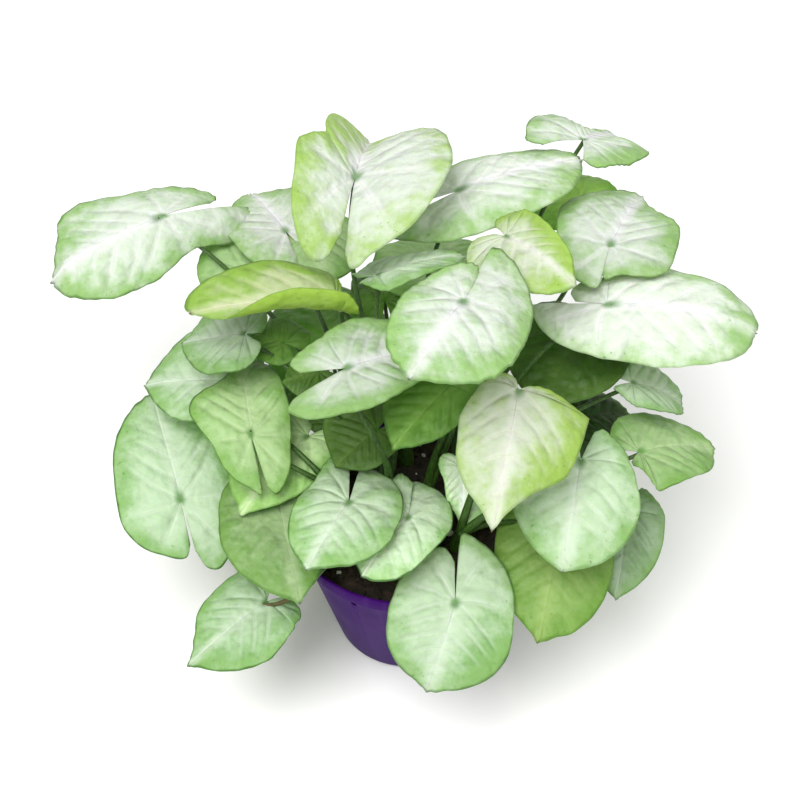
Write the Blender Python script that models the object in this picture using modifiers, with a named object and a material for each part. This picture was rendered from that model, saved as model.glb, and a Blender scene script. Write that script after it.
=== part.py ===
# A potted syngonium: a tapered plastic pot, its soil, and the leafy stems that stand in it.
# Units are metres, +Z is up, the origin is the centre of the pot's underside,
# and the plant's front faces -Y.

import math
from collections import namedtuple

import bmesh
import bpy
from mathutils import Matrix, Vector
from mathutils.geometry import interpolate_bezier

# The pot, a turned shell with a lip round its rim
POT_HEIGHT = 0.119
RIM_RADIUS = 0.0755
BASE_RADIUS = 0.0465
WALL = 0.0018
FLOOR = 0.0022
LIP_DROP = 0.010
LIP_OVERHANG = 0.0022
FOOT_ROUNDING = 0.004
RIM_ROUNDING = 0.0006
POT_SEGMENTS = 36
DRAIN_RADIUS = 0.004
DRAIN_RING = 0.028
DRAIN_COUNT = 6
HANGER_RADIUS = 0.0019
HANGER_BELOW_RIM = 0.022
HANGER_AZIMUTHS = (-118, 2, 122)

# The soil, a plug that fills the pot to a little below its rim
GAP = 0.0003
SOIL_TOP = 0.106
SOIL_DOME = 0.004
SOIL_SEGMENTS = 32
HOLE_SIDES = 16

# The stems. The profile is a share of the stem's height and a share of its radius at that height.
STEM_RADIUS = 0.0052
STEM_PROFILE = ((0, 1), (0.3, 1), (0.55, 1), (0.8, 0.9), (1, 0.7))
STEM_SUNK = 0.020
STEM_RISE = 0.022
STEM_UPRIGHT = 0.004
STEM_BEVEL = 2

# The petioles, from the stretch of stem that they leave (shares of its height) to their seats under the
# blades. Each leaves upwards with a lean outwards, and arrives by shares of the blade's own way ahead, its
# way up and the way outwards. The handles shape the curve between, as shares of its reach.
PETIOLE_FEET = (0.72, 0.92)
PETIOLE_LEAN = 0.35
PETIOLE_ARRIVAL = (0.45, 0.75, 0.30)
PETIOLE_HANDLES = (0.40, 0.32)
PETIOLE_FOOT = 0.0022
PETIOLE_TOP = 0.0013
PETIOLE_POINTS = 6
PETIOLE_BEVEL = 1
PETIOLE_SEAT = 0.0030

# The blades
BLADE_THICKNESS = 0.0008
RINGS = (0.55, 1.0)
HOOK_SHARE = 0.3
WAVES_PER_SIDE = 2.5

# Half of a blade's outline from its tip round to its notch. The first number is a share of the length
# ahead of the notch, or of the lobe behind it, and the second is a share of half the width.
HALF_OUTLINE = (
    (1.00, 0.00),
    (0.94, 0.14),
    (0.82, 0.47),
    (0.63, 0.79),
    (0.40, 0.97),
    (0.14, 1.00),
    (-0.20, 0.95),
    (-0.60, 0.80),
    (-0.92, 0.52),
    (-1.00, 0.30),
    (-0.82, 0.13),
)

# notch and tip are where the petiole meets the blade and where the blade ends, and face is the way its
# upper side looks. Where a value is a pair, it is for the left and the right half, seen from the notch.
# reach is how far a half stretches from the midrib, lobe how far it goes back behind the notch, and taper
# the share by which it narrows towards the tip. In degrees, sag is how far the blade arches from notch to
# tip, hook how far its end turns down after that, droop how far its lobes hang, fold how far each half rises
# from the midrib, curl how far it then turns down, and spread how far its lobe swings outwards. wave is the
# height of the edge's waves, and bow moves the middle of the petiole sideways. edge makes an outline its
# own: the shares by which it is drawn out or in, at even steps from the left lobe round the tip to the right.
Leaf = namedtuple("Leaf", "notch tip reach lobe face taper sag hook droop fold curl spread wave bow edge")
Stem = namedtuple("Stem", "x y lean_x lean_y leaves")


def both(value):
    """A value for each half of a blade, from a pair or from one number."""
    return value if isinstance(value, tuple) else (value, value)


def leaf(notch, tip, reach, lobe, face=(0, 0, 1), taper=0, sag=30, hook=0, droop=15, fold=10, curl=25,
         spread=0, wave=0.0012, bow=(0, 0, 0), edge=(1, 1, 1, 1, 1, 1, 1, 1, 1, 1, 1)):
    return Leaf(Vector(notch), Vector(tip), both(reach), both(lobe), Vector(face), both(taper), sag, hook,
                droop, both(fold), both(curl), both(spread), wave, Vector(bow), edge)


STEMS = {
    "stem_back_left": Stem(-0.024, 0.030, -0.004, 0.006, [
        leaf((-0.160, 0.162, 0.215), (-0.228, 0.118, 0.205), (0.041, 0.038), (0.062, 0.045), (0, -0.2, 1),
             taper=(0, -0.3), sag=12, hook=40, droop=25, fold=(-12, -12), curl=(25, 10), spread=(5, -8),
             bow=(-0.006, -0.006, 0.012),
             edge=(1.20, 1.10, 0.76, 0.95, 1.18, 1.06, 1.06, 1.27, 0.98, 0.95, 1.00)),
        leaf((-0.080, 0.165, 0.200), (-0.108, 0.215, 0.190), 0.035, 0.035),
        leaf((-0.106, 0.140, 0.188), (-0.080, 0.184, 0.184), 0.036, 0.026),
        leaf((-0.056, 0.170, 0.195), (-0.056, 0.118, 0.190), 0.030, 0.025),
        leaf((-0.050, 0.114, 0.132), (-0.062, 0.205, 0.116), (0.044, 0.042), 0.028),
    ]),
    "stem_back": Stem(0.000, 0.040, 0.000, 0.006, [
        leaf((-0.031, 0.129, 0.272), (-0.024, 0.206, 0.240), (0.053, 0.060), (0.064, 0.068), taper=(0.4, 0.3),
             droop=35, fold=(46, 28), curl=(20, 25), spread=(-4, -9), bow=(-0.012, 0, -0.006),
             edge=(0.95, 1.12, 0.84, 0.60, 1.40, 1.10, 1.00, 1.05, 1.03, 0.95, 1.10)),
        leaf((0.033, 0.139, 0.255), (0.115, 0.176, 0.250), (0.036, 0.038), 0.052, fold=(-8, 10),
             spread=(10, -8), edge=(1.00, 1.10, 1.18, 1.15, 1.08, 0.98, 1.02, 1.10, 1.05, 0.98, 0.95)),
        leaf((-0.017, 0.071, 0.245), (0.036, 0.086, 0.245), 0.031, 0.014, (0, 0.5, 0.87), droop=-20),
        leaf((-0.014, 0.128, 0.172), (-0.018, 0.186, 0.150), (0.022, 0.030), 0.026),
    ]),
    "stem_back_right": Stem(0.030, 0.028, 0.005, 0.005, [
        leaf((0.115, 0.196, 0.251), (0.150, 0.239, 0.217), 0.0375, (0.052, 0.036), fold=(16, 10),
             spread=(14, 28), edge=(0.80, 0.80, 0.98, 0.55, 0.45, 1.00, 1.00, 1.00, 1.00, 1.00, 1.00)),
        leaf((0.116, 0.190, 0.205), (0.078, 0.200, 0.195), 0.032, 0.026),
        leaf((0.123, 0.098, 0.245), (0.154, 0.168, 0.225), 0.040, 0.035, spread=(-22, -5),
             bow=(-0.020, 0.050, 0), edge=(1.00, 0.90, 0.84, 1.05, 1.05, 0.95, 0.82, 0.92, 1.00, 0.68, 0.80)),
        leaf((0.058, 0.087, 0.262), (0.095, 0.037, 0.266), (0.022, 0.031), 0.015, fold=(10, 0),
             curl=(-40, 30), edge=(1.10, 1.05, 0.88, 0.86, 0.94, 1.00, 1.08, 1.00, 1.00, 1.00, 1.00)),
        leaf((0.024, 0.142, 0.184), (0.034, 0.200, 0.164), (0.048, 0.038), 0.030),
    ]),
    "stem_right": Stem(0.040, 0.002, 0.006, 0.000, [
        leaf((0.118, 0.057, 0.235), (0.203, 0.042, 0.231), 0.041, (0.026, 0.046), hook=20, fold=(2, 0),
             curl=(18, 25), spread=(8, -26), bow=(-0.012, 0, 0.012),
             edge=(1.00, 0.95, 0.72, 0.98, 1.20, 1.04, 1.14, 1.08, 0.90, 0.94, 1.20)),
        leaf((0.136, 0.036, 0.190), (0.170, 0.040, 0.168), (0.026, 0.019), 0.014,
             edge=(1.00, 1.00, 1.00, 1.05, 1.15, 1.00, 1.15, 1.05, 0.90, 0.90, 1.00)),
        leaf((0.108, 0.075, 0.195), (0.080, 0.015, 0.188), (0.037, 0.042), 0.026),
        leaf((0.139, 0.001, 0.167), (0.190, 0.018, 0.150), 0.031, (0.018, 0.010), spread=10,
             edge=(0.95, 0.88, 0.95, 1.04, 1.00, 1.00, 1.00, 0.90, 0.97, 0.80, 1.00)),
        leaf((0.104, 0.056, 0.135), (0.146, 0.068, 0.125), 0.032, 0.024, bow=(0, 0.008, -0.004)),
    ]),
    "stem_front_right": Stem(0.030, -0.026, 0.005, -0.004, [
        leaf((0.063, -0.002, 0.225), (0.046, -0.078, 0.197), (0.041, 0.033), (0.005, 0.012), (0, -0.4, 0.9),
             taper=(0, -0.3), droop=5, fold=(-5, 10), bow=(0, -0.006, 0.006),
             edge=(1.10, 1.25, 1.14, 1.02, 0.90, 1.03, 0.96, 0.84, 0.60, 0.60, 0.75)),
        leaf((0.102, -0.012, 0.175), (0.087, -0.077, 0.153), 0.038, 0.024, (0, -0.4, 0.9), taper=(-0.2, 0),
             bow=(0, -0.012, 0.006), edge=(1.15, 0.88, 0.80, 0.97, 1.04, 1.00, 1.03, 1.02, 1.00, 1.00, 1.00)),
        leaf((0.092, -0.029, 0.135), (0.075, -0.097, 0.108), (0.037, 0.039), 0.030, (0, -0.5, 0.85),
             taper=(-0.2, 0), fold=(10, -6),
             edge=(1.00, 1.00, 0.92, 0.92, 1.00, 0.98, 0.95, 0.95, 1.00, 1.00, 1.00)),
        leaf((0.135, -0.016, 0.130), (0.124, -0.068, 0.112), (0.023, 0.028), 0.020,
             bow=(-0.006, 0.018, -0.012)),
        leaf((0.034, 0.002, 0.152), (0.034, -0.030, 0.126), (0.019, 0.020), 0.007, fold=(10, 20),
             edge=(1.00, 1.00, 1.00, 1.00, 1.00, 1.00, 0.75, 0.60, 0.80, 1.00, 1.00)),
    ]),
    "stem_front": Stem(0.002, -0.040, 0.000, -0.006, [
        leaf((0.028, -0.078, 0.125), (0.012, -0.121, 0.100), 0.037, (0.044, 0.036), (0, -0.6, 0.8),
             taper=-0.2, hook=20, droop=0, spread=(-24, 8),
             edge=(0.98, 0.92, 0.98, 0.99, 1.03, 1.04, 1.02, 0.92, 0.98, 0.90, 0.85)),
        leaf((0.001, -0.035, 0.150), (-0.026, -0.078, 0.150), (0.028, 0.025), 0.041, droop=0,
             spread=(-45, 25), edge=(1.00, 1.00, 0.95, 0.95, 1.10, 1.00, 1.00, 1.00, 1.00, 1.00, 1.00)),
    ]),
    "stem_front_left": Stem(-0.030, -0.026, -0.005, -0.004, [
        leaf((-0.034, -0.032, 0.160), (-0.056, -0.082, 0.163), (0.036, 0.029), (0.042, 0.046), droop=0,
             spread=(-28, 22), edge=(0.92, 0.92, 0.92, 0.98, 1.04, 1.02, 1.02, 0.95, 1.00, 1.05, 1.05)),
        leaf((-0.080, -0.003, 0.131), (-0.062, -0.080, 0.125), (0.029, 0.037), 0.030, taper=(0, -0.2)),
        leaf((-0.085, -0.057, 0.095), (-0.130, -0.097, 0.085), (0.035, 0.026), (0.012, 0.042),
             spread=(-15, 40), bow=(0.010, -0.018, 0.016),
             edge=(1.00, 0.90, 0.74, 0.97, 1.00, 1.00, 0.93, 1.04, 1.30, 1.10, 0.90)),
        leaf((-0.140, -0.002, 0.125), (-0.165, 0.072, 0.142), (0.034, 0.037), (0.033, 0.044), spread=(-9, -7),
             bow=(0, 0.006, -0.018), edge=(1.05, 1.04, 1.18, 1.06, 1.04, 1.00, 0.97, 0.90, 1.06, 1.08, 0.92)),
    ]),
    "stem_left": Stem(-0.040, 0.002, -0.006, 0.000, [
        leaf((-0.094, 0.014, 0.168), (-0.104, 0.072, 0.170), (0.032, 0.027), 0.038, spread=(-15, 4),
             bow=(0.012, -0.012, 0.006),
             edge=(1.10, 0.85, 0.76, 1.15, 0.88, 0.95, 1.15, 0.96, 0.92, 1.00, 1.10)),
        leaf((-0.062, 0.034, 0.143), (-0.100, -0.024, 0.135), (0.026, 0.036), 0.016,
             bow=(0.006, -0.012, 0.006)),
        leaf((-0.110, 0.060, 0.165), (-0.166, 0.064, 0.155), (0.034, 0.044), 0.018,
             bow=(0.006, -0.024, 0.006),
             edge=(1.00, 1.00, 1.00, 1.00, 1.00, 1.00, 1.06, 1.24, 1.08, 1.00, 1.00)),
        leaf((-0.066, 0.048, 0.138), (-0.094, 0.088, 0.130), (0.034, 0.026), (0.022, 0.012)),
    ]),
    "stem_middle_left": Stem(-0.014, 0.006, -0.003, 0.003, [
        leaf((-0.042, 0.061, 0.235), (-0.127, 0.048, 0.235), (0.030, 0.032), (0.012, 0.007), fold=(-20, 10),
             curl=(-150, 20), bow=(0.018, 0, -0.012),
             edge=(1.00, 1.00, 1.00, 1.00, 0.95, 1.00, 1.18, 1.10, 0.65, 0.60, 0.80)),
        leaf((-0.034, 0.005, 0.235), (0.025, 0.030, 0.225), 0.042, 0.040, spread=(15, -6),
             bow=(0.018, -0.018, 0.012),
             edge=(0.80, 0.75, 0.70, 0.90, 0.90, 1.00, 0.85, 0.75, 0.80, 0.95, 1.02)),
        leaf((-0.099, 0.066, 0.202), (-0.139, 0.070, 0.188), 0.033, 0.012),
        leaf((-0.076, 0.070, 0.190), (-0.100, 0.086, 0.183), 0.020, 0.013, bow=(-0.006, 0, -0.006)),
        leaf((-0.054, 0.046, 0.190), (-0.076, 0.042, 0.184), 0.019, 0.010, bow=(-0.006, 0.018, -0.012)),
        leaf((-0.018, 0.020, 0.165), (-0.043, 0.000, 0.153), (0.021, 0.034), 0.018),
    ]),
    "stem_middle": Stem(0.012, 0.008, 0.003, 0.003, [
        leaf((0.030, 0.010, 0.282), (0.000, -0.051, 0.284), (0.041, 0.036), (0.052, 0.038), (0, -0.2, 1),
             droop=-20, fold=(0, 10), spread=(-18, -5), bow=(0.018, 0.012, 0.006),
             edge=(1.00, 1.00, 1.00, 1.04, 1.05, 1.00, 1.02, 0.82, 0.80, 0.82, 0.90)),
        leaf((0.025, 0.011, 0.215), (-0.008, -0.025, 0.198), (0.022, 0.030), 0.025),
    ]),
}


def arc(distance, slope, turn):
    """How far an arc that turns down steadily gets ahead and up in a distance, and its slope there."""
    end = slope - turn * distance
    if abs(turn) < 1e-6:
        return distance * math.cos(slope), distance * math.sin(slope), end
    return (math.sin(slope) - math.sin(end)) / turn, (math.cos(end) - math.cos(slope)) / turn, end


def flat_length(one):
    """The blade's length from notch to tip along its arch."""
    sag = math.radians(one.sag)
    return (one.tip - one.notch).length * (sag / 2) / math.sin(sag / 2)


def midrib(one, along, side):
    """How far a blade's midrib has gone ahead and risen, and its slope, at a distance ahead of the notch."""
    sag = math.radians(one.sag)
    length = flat_length(one)
    if along < 0:
        return arc(along, sag / 2, math.radians(one.droop) / one.lobe[side])
    hooked = (1 - HOOK_SHARE) * length
    gone, risen, slope = arc(min(along, hooked), sag / 2, sag / length)
    if along > hooked:
        turn = (sag + math.radians(one.hook) / HOOK_SHARE) / length
        further, higher, slope = arc(along - hooked, slope, turn)
        gone, risen = gone + further, risen + higher
    return gone, risen, slope


def blade_axes(one):
    ahead = (one.tip - one.notch).normalized()
    up = (one.face - one.face.dot(ahead) * ahead).normalized()
    return ahead, up.cross(ahead), up


def edge_share(one, index, side):
    """How far the outline is drawn out or in at one of its points, eased between the leaf's edge shares."""
    place = (len(HALF_OUTLINE) - 1 + (index if side else -index)) / 2
    step = min(int(place), len(one.edge) - 2)
    ease = (place - step) ** 2 * (3 - 2 * (place - step))
    return one.edge[step] * (1 - ease) + one.edge[step + 1] * ease


def outline_point(one, index, side):
    """A point of the flat outline, ahead of the notch and out from the midrib. side is 0 or 1."""
    along, across = HALF_OUTLINE[index]
    turn = math.radians(one.spread[side]) * min(1, -along)
    drawn = edge_share(one, index, side)
    along, across = along * drawn, across * drawn * one.reach[side]
    if along >= 0:
        return along * flat_length(one), across * (1 - one.taper[side] * along)
    along *= one.lobe[side]
    return along * math.cos(turn) + across * math.sin(turn), across * math.cos(turn) - along * math.sin(turn)


def blade_point(one, axes, along, across, side, ripple):
    """The place in the world of a flat point of the blade, lifted by ripple."""
    ahead, left, up = axes
    gone, risen, slope = midrib(one, along, side)
    curl = math.radians(one.curl[side]) / one.reach[side]
    out, raised, _ = arc(across, math.radians(one.fold[side]), curl)
    raised += ripple
    return (
        one.notch
        + ahead * (gone - raised * math.sin(slope))
        + up * (risen + raised * math.cos(slope))
        + left * (out if side == 0 else -out)
    )


def upper_side(one):
    """The blade's upper side: its notch, then rings of points from the left lobe round the tip."""
    axes = blade_axes(one)
    last = len(HALF_OUTLINE) - 1
    walk = [(index, 0) for index in range(last, 0, -1)] + [(index, 1) for index in range(last + 1)]
    points = [one.notch.copy()]
    for ring in RINGS:
        for index, side in walk:
            along, across = outline_point(one, index, side)
            phase = 2 * math.pi * WAVES_PER_SIDE * index / last + 2 * side
            ripple = one.wave * ring**3 * math.sin(phase)
            points.append(blade_point(one, axes, ring * along, ring * across, side, ripple))
    return points, len(walk)


def blade_surface(one):
    """The blade's upper side as an open mesh of triangles: a fan round the notch, then a band to the edge."""
    points, count = upper_side(one)
    faces = [(0, 2 + i, 1 + i) for i in range(count - 1)]
    for ring in range(1, len(RINGS)):
        inner, outer = 1 + (ring - 1) * count, 1 + ring * count
        for i in range(count - 1):
            faces += [(inner + i, outer + i + 1, outer + i), (inner + i, inner + i + 1, outer + i + 1)]
    mesh = bpy.data.meshes.new("blade")
    mesh.from_pydata(points, [], faces)
    return mesh


def stem_point(stem, share):
    """A point of the stem's centre line, from its foot in the soil (0) to its top (1)."""
    height = SOIL_TOP - STEM_SUNK + (STEM_SUNK + STEM_RISE) * share
    leaning = max(0, height - SOIL_TOP - STEM_UPRIGHT) / STEM_RISE
    return Vector((stem.x + stem.lean_x * leaning, stem.y + stem.lean_y * leaning, height))


def petiole_route(stem, one, foot_share):
    """The petiole's centre line, from inside its stem up to the underside of its blade."""
    ahead, _, up = blade_axes(one)
    foot = stem_point(stem, foot_share)
    top = one.notch + ahead * PETIOLE_SEAT - up * BLADE_THICKNESS * 0.6
    reach = (top - foot).length
    outward = Vector((top.x - foot.x, top.y - foot.y, 0)) / reach
    leaving = (Vector((0, 0, 1)) + outward * PETIOLE_LEAN).normalized()
    along, above, away = PETIOLE_ARRIVAL
    arriving = (ahead * along + up * above + outward * away).normalized()
    first = foot + leaving * reach * PETIOLE_HANDLES[0] + one.bow
    second = top - arriving * reach * PETIOLE_HANDLES[1] + one.bow
    return interpolate_bezier(foot, first, second, top, PETIOLE_POINTS)


def petiole_feet(stem):
    """The heights that a stem's petioles leave it at, one for each leaf, as shares of its height."""
    low, high = PETIOLE_FEET
    return [low + (high - low) * i / (len(stem.leaves) - 1) for i in range(len(stem.leaves))]


def tube(name, points, radii, bevel):
    """A closed tube of round section along these points."""
    curve = bpy.data.curves.new(name, "CURVE")
    curve.dimensions = "3D"
    curve.bevel_depth = 1
    curve.bevel_resolution = bevel
    curve.use_fill_caps = True
    spline = curve.splines.new("POLY")
    spline.points.add(len(points) - 1)
    for point, place, radius in zip(spline.points, points, radii):
        point.co = (*place, 1)
        point.radius = radius
    route = bpy.data.objects.new(name, curve)
    PARTS.objects.link(route)
    bpy.context.view_layer.update()
    mesh = bpy.data.meshes.new_from_object(route.evaluated_get(bpy.context.evaluated_depsgraph_get()))
    bpy.data.objects.remove(route)
    return weld(mesh)


def weld(mesh):
    work = bmesh.new()
    work.from_mesh(mesh)
    bmesh.ops.remove_doubles(work, verts=work.verts, dist=1e-6)
    bmesh.ops.recalc_face_normals(work, faces=work.faces)
    work.to_mesh(mesh)
    work.free()
    return mesh


def material(name, colour, roughness):
    made = bpy.data.materials.new(name)
    made.use_nodes = True
    shader = made.node_tree.nodes["Principled BSDF"]
    shader.inputs["Base Color"].default_value = (*colour, 1)
    shader.inputs["Roughness"].default_value = roughness
    shader.inputs["Metallic"].default_value = 0
    return made


def add_object(name, mesh, collection):
    made = bpy.data.objects.new(name, mesh)
    collection.objects.link(made)
    return made


def turned(name, profile, segments, finish):
    """A solid turned round Z from a profile of (radius, height) points that starts and ends on the axis."""
    mesh = bpy.data.meshes.new(name)
    mesh.from_pydata([(r, 0, z) for r, z in profile], [(i, i + 1) for i in range(len(profile) - 1)], [])
    mesh.materials.append(finish)
    made = add_object(name, mesh, PARTS)
    screw = made.modifiers.new("Turn", "SCREW")
    screw.steps = screw.render_steps = segments
    screw.use_merge_vertices = True
    screw.merge_threshold = 1e-5
    screw.use_normal_calculate = True
    return made


def apply_modifiers(made):
    """Replaces an object's mesh by the evaluated one, and takes its modifiers off."""
    bpy.context.view_layer.update()
    mesh = bpy.data.meshes.new_from_object(made.evaluated_get(bpy.context.evaluated_depsgraph_get()))
    made.modifiers.clear()
    made.data = mesh
    return made


def cutter(name, radius, sides, low, high, place=(0, 0, 0)):
    """A round cutter that stands along Z from low to high."""
    mesh = bpy.data.meshes.new(name)
    work = bmesh.new()
    bmesh.ops.create_cone(
        work, cap_ends=True, segments=sides, radius1=radius, radius2=radius, depth=high - low,
        matrix=Matrix.Translation((place[0], place[1], (low + high) / 2)),
    )
    work.to_mesh(mesh)
    work.free()
    made = add_object(name, mesh, CUTTERS)
    made.hide_render = True
    made.display_type = "WIRE"
    return made


def cut(made, tool):
    """Cuts a hole. The exact solver leaves open edges where a round hole meets a turned wall."""
    boolean = made.modifiers.new("Cut " + tool.name, "BOOLEAN")
    boolean.operation = "DIFFERENCE"
    boolean.solver = "MANIFOLD"
    boolean.object = tool


def pot_outer_radius(height):
    """The radius of the pot's outer wall below its lip, which tapers straight to the base."""
    return BASE_RADIUS + (RIM_RADIUS - LIP_OVERHANG - BASE_RADIUS) * height / POT_HEIGHT


def build_pot():
    lip = POT_HEIGHT - LIP_DROP
    chamfer = FOOT_ROUNDING
    profile = [
        (0, FLOOR),
        (pot_outer_radius(FLOOR) - WALL - chamfer / 2, FLOOR),
        (pot_outer_radius(FLOOR + chamfer) - WALL, FLOOR + chamfer),
        (pot_outer_radius(lip) - WALL, lip),
        (RIM_RADIUS - WALL - RIM_ROUNDING, lip + LIP_OVERHANG),
        (RIM_RADIUS - WALL, POT_HEIGHT - RIM_ROUNDING),
        (RIM_RADIUS - WALL + RIM_ROUNDING, POT_HEIGHT),
        (RIM_RADIUS - RIM_ROUNDING, POT_HEIGHT),
        (RIM_RADIUS, POT_HEIGHT - RIM_ROUNDING),
        (RIM_RADIUS - RIM_ROUNDING, lip),
        (pot_outer_radius(lip), lip),
        (pot_outer_radius(chamfer), chamfer),
        (pot_outer_radius(0) - chamfer * 0.3, chamfer * 0.3),
        (pot_outer_radius(0) - chamfer, 0),
        (0, 0),
    ]
    finish = material("purple plastic", (0.075, 0.030, 0.155), 0.38)
    pot = turned("pot", profile, POT_SEGMENTS, finish)
    for i in range(DRAIN_COUNT):
        angle = 2 * math.pi * (i + 0.5) / DRAIN_COUNT
        place = (DRAIN_RING * math.cos(angle), DRAIN_RING * math.sin(angle))
        cut(pot, cutter(f"drain {i + 1}", DRAIN_RADIUS, 12, -FLOOR, 2 * FLOOR, place))
    for azimuth in HANGER_AZIMUTHS:
        tool = cutter(f"hanger hole {azimuth}", HANGER_RADIUS, 10, BASE_RADIUS, RIM_RADIUS)
        tool.data.transform(Matrix.Rotation(math.radians(90), 4, "Y"))
        tool.rotation_euler.z = math.radians(azimuth)
        tool.location.z = POT_HEIGHT - HANGER_BELOW_RIM
        cut(pot, tool)


def build_soil():
    top = pot_outer_radius(SOIL_TOP) - WALL - GAP
    profile = [
        (0, SOIL_TOP + SOIL_DOME),
        (0.020, SOIL_TOP + SOIL_DOME * 0.95),
        (0.040, SOIL_TOP + SOIL_DOME * 0.7),
        (0.058, SOIL_TOP + SOIL_DOME * 0.25),
        (top, SOIL_TOP),
        (pot_outer_radius(FLOOR + FOOT_ROUNDING) - WALL - GAP * 1.5, FLOOR + FOOT_ROUNDING + GAP),
        (pot_outer_radius(FLOOR) - WALL - FOOT_ROUNDING / 2 - GAP, FLOOR + GAP),
        (0, FLOOR + GAP),
    ]
    soil = turned("soil", profile, SOIL_SEGMENTS, material("dark soil", (0.020, 0.012, 0.010), 0.95))
    for name, stem in STEMS.items():
        place = (stem.x, stem.y)
        floor = SOIL_TOP - STEM_SUNK - GAP
        cut(soil, cutter("hole of " + name, STEM_RADIUS + 2 * GAP, HOLE_SIDES, floor, POT_HEIGHT, place))


def build_stem(name, stem, finish):
    """One leafy stem: the stem, its petioles and its blades, joined into one body."""
    pieces = bpy.data.collections.new(name + " pieces")
    bpy.context.scene.collection.children.link(pieces)
    route = [stem_point(stem, height) for height, _ in STEM_PROFILE]
    radii = [STEM_RADIUS * thick for _, thick in STEM_PROFILE]
    main = add_object(name, tube(name, route, radii, STEM_BEVEL), PARTS)
    for foot_share, one in zip(petiole_feet(stem), stem.leaves):
        route = petiole_route(stem, one, foot_share)
        thinning = (PETIOLE_TOP - PETIOLE_FOOT) / (len(route) - 1)
        radii = [PETIOLE_FOOT + thinning * k for k in range(len(route))]
        add_object("petiole", tube("petiole", route, radii, PETIOLE_BEVEL), pieces)
        blade = add_object("blade", blade_surface(one), pieces)
        shell = blade.modifiers.new("Thickness", "SOLIDIFY")
        shell.thickness = BLADE_THICKNESS
        shell.offset = -1
    join = main.modifiers.new("Join the leaves", "BOOLEAN")
    join.operation = "UNION"
    join.operand_type = "COLLECTION"
    join.collection = pieces
    join.solver = "MANIFOLD"
    apply_modifiers(main)
    for piece in list(pieces.objects):
        bpy.data.objects.remove(piece)
    bpy.data.collections.remove(pieces)
    main.data.materials.clear()
    main.data.materials.append(finish)


def new_collection(name):
    made = bpy.data.collections.new(name)
    bpy.context.scene.collection.children.link(made)
    return made


for old in list(bpy.data.objects):
    bpy.data.objects.remove(old)

PARTS = new_collection("potted syngonium")
CUTTERS = new_collection("cutters")

build_pot()
build_soil()
LEAF_FINISH = material("pale leaf", (0.55, 0.75, 0.45), 0.45)
for stem_name, stem_data in STEMS.items():
    build_stem(stem_name, stem_data, LEAF_FINISH)
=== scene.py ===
# A potted syngonium: its leaves, petioles, stems, soil and pot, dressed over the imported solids.
# Lengths are in metres, +Z is up, and the plant's front faces -Y.

import math

import bpy
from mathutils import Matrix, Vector, noise


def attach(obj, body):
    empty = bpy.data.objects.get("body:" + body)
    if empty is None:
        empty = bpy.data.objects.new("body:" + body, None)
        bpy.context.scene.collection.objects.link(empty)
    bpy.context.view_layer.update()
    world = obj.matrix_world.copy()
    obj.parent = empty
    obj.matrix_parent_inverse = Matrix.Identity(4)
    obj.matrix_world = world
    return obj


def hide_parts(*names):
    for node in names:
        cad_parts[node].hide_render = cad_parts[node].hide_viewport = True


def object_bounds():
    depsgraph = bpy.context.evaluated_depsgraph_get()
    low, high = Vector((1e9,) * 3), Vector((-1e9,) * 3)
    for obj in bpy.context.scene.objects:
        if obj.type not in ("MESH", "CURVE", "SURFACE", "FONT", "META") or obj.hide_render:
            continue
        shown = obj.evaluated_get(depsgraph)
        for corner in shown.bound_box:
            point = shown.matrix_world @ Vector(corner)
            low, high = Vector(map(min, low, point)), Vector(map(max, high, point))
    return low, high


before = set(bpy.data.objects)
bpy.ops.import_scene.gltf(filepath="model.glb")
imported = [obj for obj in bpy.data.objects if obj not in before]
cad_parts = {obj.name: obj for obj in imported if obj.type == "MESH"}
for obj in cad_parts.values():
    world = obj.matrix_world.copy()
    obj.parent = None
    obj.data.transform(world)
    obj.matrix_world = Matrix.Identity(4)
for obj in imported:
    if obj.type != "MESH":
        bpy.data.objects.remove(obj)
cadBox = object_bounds()
print("frame:", len(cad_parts), "solids to dress")

tiny = 1e-6    # nearer than this is the same place


# Shader wires

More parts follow.
